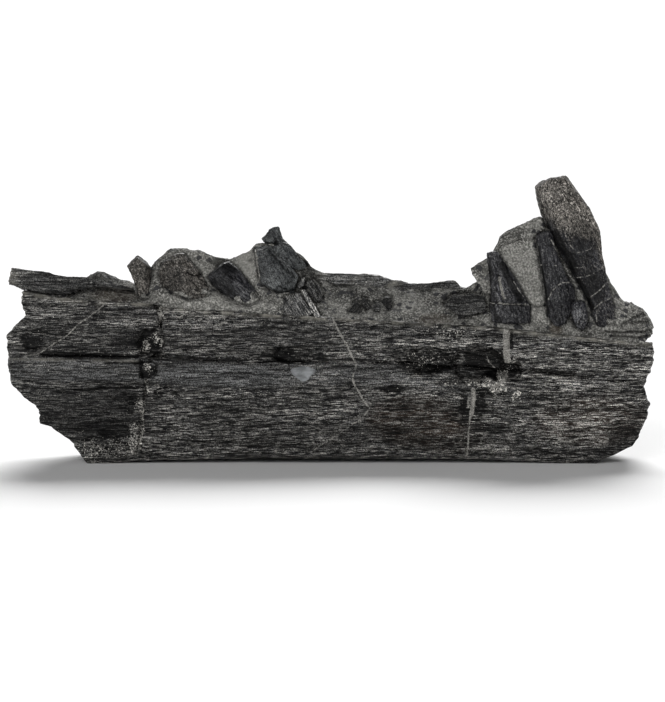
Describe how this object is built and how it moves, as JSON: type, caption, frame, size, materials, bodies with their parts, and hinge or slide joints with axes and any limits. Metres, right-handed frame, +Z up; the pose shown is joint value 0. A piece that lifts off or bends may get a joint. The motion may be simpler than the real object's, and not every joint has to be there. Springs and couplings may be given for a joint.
{
  "type": "fossil ichthyosaur jaw",
  "caption": "Broken length of fossil ichthyosaur lower jaw, dark grooved bone with teeth and bone bits standing in grey limestone.",
  "frame": {"origin": "centre of the overall box, at the flat foot that the fossil rests on", "axes": "+X along the jaw to the right of the outer side, +Y from the outer side to the inner side, +Z up to the teeth"},
  "size_m": [0.3259, 0.0521, 0.1435],
  "materials": {
    "fossil_bone": "fibrous, half matt",
    "limestone": "matt, grainy",
    "brown_tooth": "speckled, half matt",
    "grey_tooth": "smooth, satin",
    "black_tooth": "smooth, satin"
  },
  "bodies": {
    "root": {"jaw_bone": "fossil_bone", "inner_jaw_bone": "fossil_bone", "matrix": "limestone", "bone_splinter": "fossil_bone", "tooth_stub": "brown_tooth", "tooth_broken": "brown_tooth", "tooth_dark": "black_tooth", "tooth_grey": "grey_tooth", "tooth_behind": "grey_tooth", "tooth_narrow": "black_tooth", "tooth_long": "black_tooth", "tooth_bulb": "black_tooth", "tooth_big": "brown_tooth", "bone_block": "fossil_bone", "bone_strip": "fossil_bone", "bone_sliver": "fossil_bone", "bone_lump": "fossil_bone", "bone_chip_1": "fossil_bone", "bone_chip_2": "fossil_bone", "bone_chip_3": "fossil_bone", "bone_chip_4": "fossil_bone", "bone_flake": "fossil_bone"}
  },
  "joints": []
}
